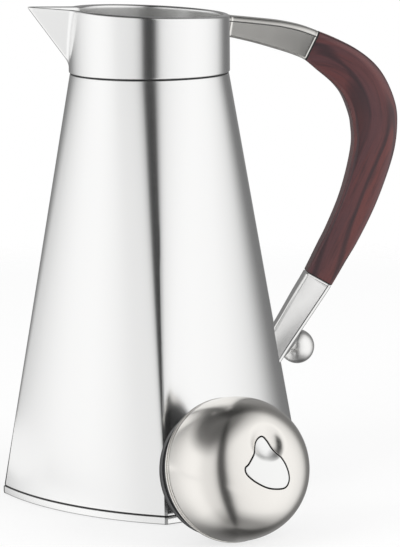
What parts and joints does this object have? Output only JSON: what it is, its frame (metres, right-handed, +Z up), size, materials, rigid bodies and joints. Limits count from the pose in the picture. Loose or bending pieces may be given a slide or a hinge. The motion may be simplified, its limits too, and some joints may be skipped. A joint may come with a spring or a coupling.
{
  "type": "coffee pot",
  "caption": "Insulated steel coffee pot with a tapering four-cornered body, a wooden handle grip, a pointed spout and a lift-out domed stopper with a pouring lever, lying beside it",
  "frame": {"origin": "Centre of the pot's base, on the table that the pot's feet stand on", "axes": "+Z up along the pot's axis, +X towards the handle, -X towards the spout, -Y towards the stopper that lies beside the pot"},
  "size_m": [0.2455, 0.267, 0.3016],
  "materials": {
    "brushed_steel": "Satin stainless steel, brushed in one direction",
    "cast_steel": "Satin steel of the handle's arms and the ball, a little duller",
    "inner_steel": "Plain steel inside the mouth and under the base",
    "rosewood": "Dark red-brown wood with darker streaks and a satin lacquer",
    "flask_glass": "Silvered glass of the vacuum flask",
    "black_rubber": "Black gaskets and feet",
    "grey_silicone": "Grey seals and washer",
    "plug_plastic": "Dark grey plastic of the plug",
    "white_plastic": "Pale plastic inside the collar and stopper",
    "screw_steel": "Plain screws, studs, pin and spring"
  },
  "bodies": {
    "pot": {"outer_shell": "brushed_steel", "base_band": "brushed_steel", "base_gasket": "black_rubber", "base_plate": "inner_steel", "base_screws": "screw_steel", "rubber_feet": "black_rubber", "flask_cushion": "grey_silicone", "outer_glass": "flask_glass", "inner_glass": "flask_glass", "glass_spacers": "grey_silicone", "flask_seal": "grey_silicone", "neck_gasket": "black_rubber", "collar": "brushed_steel", "collar_core": "white_plastic", "mouth_liner": "inner_steel", "spout": "brushed_steel", "upper_arm": "cast_steel", "arm_screw": "screw_steel", "wood_grip": "rosewood", "grip_studs": "screw_steel", "lower_arm": "cast_steel", "ball_screw": "cast_steel", "foot_nut": "screw_steel"},
    "stopper": {"stopper_dome": "brushed_steel", "dome_gasket": "black_rubber", "stopper_flange": "brushed_steel", "plug": "plug_plastic", "plug_seal": "grey_silicone", "stopper_deck": "white_plastic", "stopper_screws": "screw_steel", "lever_bracket": "inner_steel", "bracket_screws": "screw_steel", "lever_pin": "screw_steel", "valve_spring": "screw_steel"},
    "pouring_lever": {"lever": "brushed_steel"},
    "valve": {"valve_stem": "inner_steel", "valve_disc": "white_plastic", "valve_washer": "grey_silicone"}
  },
  "joints": [
    {"name": "stopper_lift", "type": "slide", "parent": "pot", "child": "stopper", "axis": [0, 0, 1], "range_m": [0, 0.25]},
    {"name": "lever_press", "type": "hinge", "parent": "stopper", "child": "pouring_lever", "pos_m": [0.04707, -0.16377, 0.04405], "axis": [-0.895, -0.2774, 0.3494], "range_deg": [0, 14]},
    {"name": "valve_slide", "type": "slide", "parent": "stopper", "child": "valve", "axis": [-0.3805, 0.8835, -0.2732], "range_m": [0, 0.0023], "stiffness_N_per_m": 60, "springref_m": -0.003, "deforming": ["valve_spring"]}
  ],
  "couplings": [
    {"joint": "lever_press", "follows": "valve_slide", "rad_per_m": 105.26}
  ]
}
